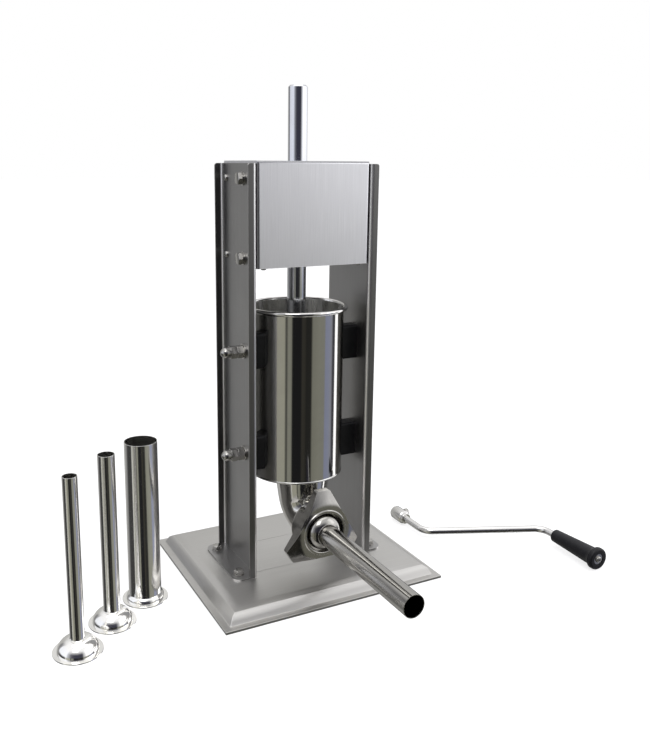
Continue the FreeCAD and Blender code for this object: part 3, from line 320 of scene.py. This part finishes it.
def make_finishes():
    return {
        # Painted highlight on the column folds and painted shade on the flange fronts.
        "brushed_frame": brushed_metal("satin_frame", (0.38, 0.375, 0.370), "Z", 0.30, fold_light=2.6,
                                       painted_shade=("Y", 0.45, 1)),
        # Painted shade on the base's slopes and sides: faces that don't look along Z are dimmed.
        "base_sheet": brushed_metal("satin_base", (0.56, 0.55, 0.53), "X", 0.36, painted_shade=("Z", 1, 0.60)),
        # The cover's colour is painted lighter than the frame's same sheet steel, painted light; its folds
        # get painted shade.
        "cover_sheet": brushed_metal("cover_painted_bright", (0.84, 0.84, 0.87), "Z", 0.30, 0.025, fold_light=0.35),
        "polished_steel": polished_barrel(),
        # The spare tubes and the fitted tube are one steel: the spare ones are painted lighter, painted
        # light, and the fitted one darker, painted shade.
        "polished_tube": polished_metal("polished_tube", (0.96, 0.95, 0.92), 0.10, 0.08),
        "fitted_tube": polished_metal("fitted_tube", (0.42, 0.41, 0.385), 0.10, 0.08),
        "polished_bend": polished_metal("polished_bend", (0.70, 0.69, 0.66), 0.08, 0.08),
        "cast_steel": cast_metal("cast_nut", (0.42, 0.41, 0.39), 0.10),
        "chromed_rod": polished_metal("chromed_rod", (0.68, 0.69, 0.72), 0.08, 0.06, "Z"),
        "fastener": polished_metal("bright_fastener", (0.44, 0.43, 0.41), 0.13, 0.08, ripple=0.002),
        "crank_steel": polished_metal("plated_bar", (0.80, 0.79, 0.77), 0.20, 0.12, ripple=0.01),
        "piston_steel": brushed_metal("turned_piston", (0.60, 0.59, 0.57), "Z", 0.25),
        "cross_member": brushed_metal("machined_bar", (0.62, 0.62, 0.62), "X", 0.34),
        "gear_steel": greased_steel("greased_gear", (0.30, 0.30, 0.31)),
        "bronze": sintered("sintered_bush", (0.55, 0.36, 0.16)),
        "rubber": moulded("black_rubber", (0.018, 0.018, 0.018), 0.75, 900.0),
        "seal": moulded("silicone_seal", (0.72, 0.68, 0.60), 0.45, 500.0, 0.12, 0.1),
        "grip_plastic": moulded("black_grip", (0.006, 0.006, 0.008), 0.44, 1300.0, 0.25, shine=0.30),
        "lug_black": moulded("black_lug", (0.008, 0.008, 0.009), 0.40, 700.0, 0.2, shine=0.18),
    }


# Nodes that share a slot in the record and differ in the photo.
LOOK_OF_NODE = {
    "base_plate": "base_sheet",
    # The fitted tube and the spare tubes differ only by painted shade and painted light.
    "stuffing_tube": "fitted_tube",
    "spare_tube_small": "polished_tube",
    "spare_tube_medium": "polished_tube",
    "spare_tube_large": "polished_tube",
    "outlet_elbow": "polished_bend",
    "outlet_collar": "polished_bend",
    "cylinder_floor": "polished_bend",
}

# Bevels in millimetres.
SOFT_EDGE = {
    "base_plate": 0.5,
    "left_column": 0.4,
    "right_column": 0.4,
    "gearbox_cover": 0.3,
    "wing_nut": 0.8,
    "upper_lugs": 0.8,
    "lower_lugs": 0.8,
    "crank_grip": 0.5,
    "crank_socket": 0.4,
    "acorn_nuts": 0.35,
    "stud_nuts": 0.35,
    "gearbox_bolts": 0.35,
    "foot_bolts": 0.3,
    "rubber_feet": 0.8,
}
COMMON_EDGE = 0.15
BEVEL_STEPS = 2
WIDE_SHEETS = ("base_plate", "left_column", "right_column", "gearbox_cover")
NO_BEVEL = ("rack_pinion", "large_gear", "slow_pinion", "press_rod")


def soften(node, name):
    """Smooth shading over a weld and a small bevel, so that no edge is knife sharp. Teeth are only split."""
    mesh = node.data
    for attribute in ("custom_normal", "sharp_face", "sharp_edge"):
        if attribute in mesh.attributes:
            mesh.attributes.remove(mesh.attributes[attribute])
    mesh.polygons.foreach_set("use_smooth", [True] * len(mesh.polygons))
    weld = node.modifiers.new("weld", "WELD")
    weld.merge_threshold = WELD_GAP
    if name in NO_BEVEL:
        split = node.modifiers.new("split", "EDGE_SPLIT")
        split.split_angle = SHARP_TURN
        return
    bevel = node.modifiers.new("bevel", "BEVEL")
    bevel.width = SOFT_EDGE.get(name, COMMON_EDGE) * MM
    bevel.segments = BEVEL_STEPS
    bevel.limit_method = "ANGLE"
    bevel.angle_limit = SHARP_TURN
    bevel.harden_normals = True
    bevel.use_clamp_overlap = True
    if name in WIDE_SHEETS:
        even = node.modifiers.new("even", "WEIGHTED_NORMAL")
        even.weight = 100
        even.keep_sharp = True


def dress_nodes(finishes):
    slots = {row["node"]: row["material_slot"] for row in frame["record"]["subparts"]}
    for name, node in NODES.items():
        look = LOOK_OF_NODE.get(name, slots[name])
        node.data.materials.clear()
        node.data.materials.append(finishes[look])
        soften(node, name)


# ---- stage and light ----------------------------------------------------------------------
FLOOR_SIZE = 60.0
FLOOR_SHADES = ((0.40, 0.40, 0.40), (0.42, 0.42, 0.42))
FLOOR_GLOW = 0.74                  # lifts the lit floor to the backdrop's white

LIGHT_TARGET = (0, 0, 0.3)
AREA_LIGHTS = (                    # name, place, size, watts
    ("key", (-1.2, -1.6, 2.6), (1.4, 1.4), 14.0),
    ("top", (0.2, 0.1, 3.0), (2.5, 2.5), 14.0),
    ("fill", (2.2, -1.4, 1.6), (1.2, 2.0), 5.0),
)


def make_floor():
    """A pale floor that takes soft shadows and isn't mirrored in the steel."""
    bpy.ops.mesh.primitive_plane_add(size=FLOOR_SIZE, location=(0, 0, 0))
    floor = bpy.context.object
    floor.name = "floor"
    s = Shader("pale_floor")
    s.bsdf.inputs["Roughness"].default_value = 1.0
    s.bsdf.inputs["Specular IOR Level"].default_value = 0.0
    speckle = s.noise(s.place, 3.0, 3.0)
    s.colour(s.mix(s.band(speckle, 0.3, 0.7, 0.0, 1.0), *FLOOR_SHADES))
    s.bsdf.inputs["Emission Color"].default_value = WHITE
    s.bsdf.inputs["Emission Strength"].default_value = FLOOR_GLOW
    clear = s.tree.nodes.new("ShaderNodeBsdfTransparent")
    mix = s.tree.nodes.new("ShaderNodeMixShader")
    s.link(s.tree.nodes.new("ShaderNodeLightPath").outputs["Is Camera Ray"], mix.inputs[0])
    s.link(clear.outputs[0], mix.inputs[1])
    s.link(s.bsdf.outputs[0], mix.inputs[2])
    s.link(mix.outputs[0], s.tree.nodes["Material Output"].inputs["Surface"])
    floor.data.materials.append(s.material)


# The studio's two rings of cards, as (degrees from +X towards +Y, red, green, blue). Reflections that
# look up meet the high ring. Those that look down, as most in the upright sheets do, meet the low one.
STUDIO_HIGH = (
    (0, 1.45, 1.45, 1.50), (17, 1.35, 1.35, 1.40), (28, 0.62, 0.62, 0.64), (56, 0.80, 0.80, 0.80),
    (70, 0.62, 0.62, 0.60), (90, 0.52, 0.52, 0.51), (113, 0.46, 0.46, 0.45), (122, 0.22, 0.22, 0.23),
    (132, 0.24, 0.24, 0.25), (142, 0.95, 0.97, 1.04), (192, 1.00, 1.03, 1.12), (206, 0.45, 0.46, 0.50),
    (222, 0.12, 0.12, 0.14), (238, 0.05, 0.05, 0.07), (278, 0.05, 0.05, 0.07), (288, 0.45, 0.45, 0.47),
    (295, 0.75, 0.75, 0.77), (303, 1.32, 1.32, 1.34), (312, 1.45, 1.45, 1.47), (345, 1.40, 1.40, 1.44),
)
STUDIO_LOW = (
    (0, 1.70, 1.70, 1.72), (18, 1.60, 1.60, 1.62), (26, 0.09, 0.09, 0.10), (60, 0.10, 0.10, 0.10),
    (85, 0.38, 0.38, 0.37), (113, 0.52, 0.52, 0.51), (122, 0.28, 0.28, 0.28), (136, 0.28, 0.28, 0.28),
    (150, 0.05, 0.05, 0.05), (186, 0.04, 0.04, 0.04), (190, 0.75, 0.75, 0.72), (196, 0.38, 0.375, 0.32),
    (216, 0.38, 0.375, 0.31), (218.5, 0.09, 0.09, 0.08), (222, 0.09, 0.09, 0.08), (224, 0.27, 0.27, 0.23),
    (232, 0.25, 0.25, 0.21), (235, 0.014, 0.014, 0.015), (255.5, 0.014, 0.014, 0.015),
    (258, 0.042, 0.040, 0.034), (265, 0.038, 0.036, 0.030), (268, 0.022, 0.022, 0.020),
    (280, 0.024, 0.024, 0.022), (284, 0.22, 0.22, 0.185), (300, 0.25, 0.25, 0.21), (316, 0.25, 0.25, 0.22),
    (319, 0.26, 0.28, 0.39), (330, 0.28, 0.30, 0.40), (338, 0.30, 0.31, 0.36), (343, 0.07, 0.07, 0.08),
    (350, 0.05, 0.05, 0.06), (353, 1.70, 1.70, 1.72),
)

# A direction's Z, over which the low ring gives way to the high one, and the high one to the sky.
LOW_TO_HIGH = (-0.19, 0.02)
HIGH_TO_SKY = (0.30, 0.85)
SKY = (1.0, 1.0, 1.02, 1)


def studio_ring(tree, angle, stops, interpolation):
    ramp = tree.nodes.new("ShaderNodeValToRGB")
    ramp.color_ramp.interpolation = interpolation
    elements = ramp.color_ramp.elements
    while len(elements) > 1:
        elements.remove(elements[-1])
    for k, (degrees, *colour) in enumerate(stops):
        stop = elements[0] if k == 0 else elements.new(degrees / 360)
        stop.position = degrees / 360
        stop.color = (*colour, 1)
    tree.links.new(angle, ramp.inputs[0])
    return ramp.outputs["Color"]


def rising(tree, value, low, high):
    node = tree.nodes.new("ShaderNodeMapRange")
    node.interpolation_type = "SMOOTHSTEP"
    for key, number in (("From Min", low), ("From Max", high), ("To Min", 0.0), ("To Max", 1.0)):
        node.inputs[key].default_value = number
    tree.links.new(value, node.inputs["Value"])
    return node.outputs[0]


def make_world():
    """A plain white backdrop to the eye, and a studio of bright and dark upright cards in reflections."""
    world = bpy.data.worlds.new("studio")
    SCENE.world = world
    world.use_nodes = True
    tree = world.node_tree
    tree.nodes.clear()
    new = tree.nodes.new
    split = new("ShaderNodeSeparateXYZ")
    tree.links.new(new("ShaderNodeTexCoord").outputs["Generated"], split.inputs[0])
    angle = new("ShaderNodeMath")
    angle.operation = "ARCTAN2"
    tree.links.new(split.outputs["Y"], angle.inputs[0])
    tree.links.new(split.outputs["X"], angle.inputs[1])
    turns = new("ShaderNodeMath")
    turns.operation = "MULTIPLY"
    tree.links.new(angle.outputs[0], turns.inputs[0])
    turns.inputs[1].default_value = 1 / (2 * math.pi)
    wrap = new("ShaderNodeMath")
    wrap.operation = "FLOORED_MODULO"
    tree.links.new(turns.outputs[0], wrap.inputs[0])
    wrap.inputs[1].default_value = 1.0
    low = studio_ring(tree, wrap.outputs[0], STUDIO_LOW, "LINEAR")
    high = studio_ring(tree, wrap.outputs[0], STUDIO_HIGH, "EASE")
    walls = new("ShaderNodeMix")
    walls.data_type = "RGBA"
    tree.links.new(rising(tree, split.outputs["Z"], *LOW_TO_HIGH), walls.inputs["Factor"])
    tree.links.new(low, walls.inputs[6])
    tree.links.new(high, walls.inputs[7])
    lit = new("ShaderNodeMix")
    lit.data_type = "RGBA"
    tree.links.new(rising(tree, split.outputs["Z"], *HIGH_TO_SKY), lit.inputs["Factor"])
    tree.links.new(walls.outputs[2], lit.inputs[6])
    lit.inputs[7].default_value = SKY
    studio = new("ShaderNodeBackground")
    tree.links.new(lit.outputs[2], studio.inputs["Color"])
    plain = new("ShaderNodeBackground")
    plain.inputs["Color"].default_value = WHITE
    mix = new("ShaderNodeMixShader")
    tree.links.new(new("ShaderNodeLightPath").outputs["Is Camera Ray"], mix.inputs[0])
    tree.links.new(studio.outputs[0], mix.inputs[1])
    tree.links.new(plain.outputs[0], mix.inputs[2])
    out = new("ShaderNodeOutputWorld")
    tree.links.new(mix.outputs[0], out.inputs[0])


def make_lights():
    for name, place, size, power in AREA_LIGHTS:
        data = bpy.data.lights.new(name, "AREA")
        data.shape = "RECTANGLE"
        data.size, data.size_y = size
        data.energy = power
        light = bpy.data.objects.new(name, data)
        light.location = place
        light.rotation_euler = (Vector(LIGHT_TARGET) - Vector(place)).to_track_quat("-Z", "Y").to_euler()
        SCENE.collection.objects.link(light)


# ---- build --------------------------------------------------------------------------------
def main():
    SCENE.view_settings.view_transform = "Standard"
    make_camera()
    dress_nodes(make_finishes())
    make_floor()
    make_world()
    make_lights()


main()
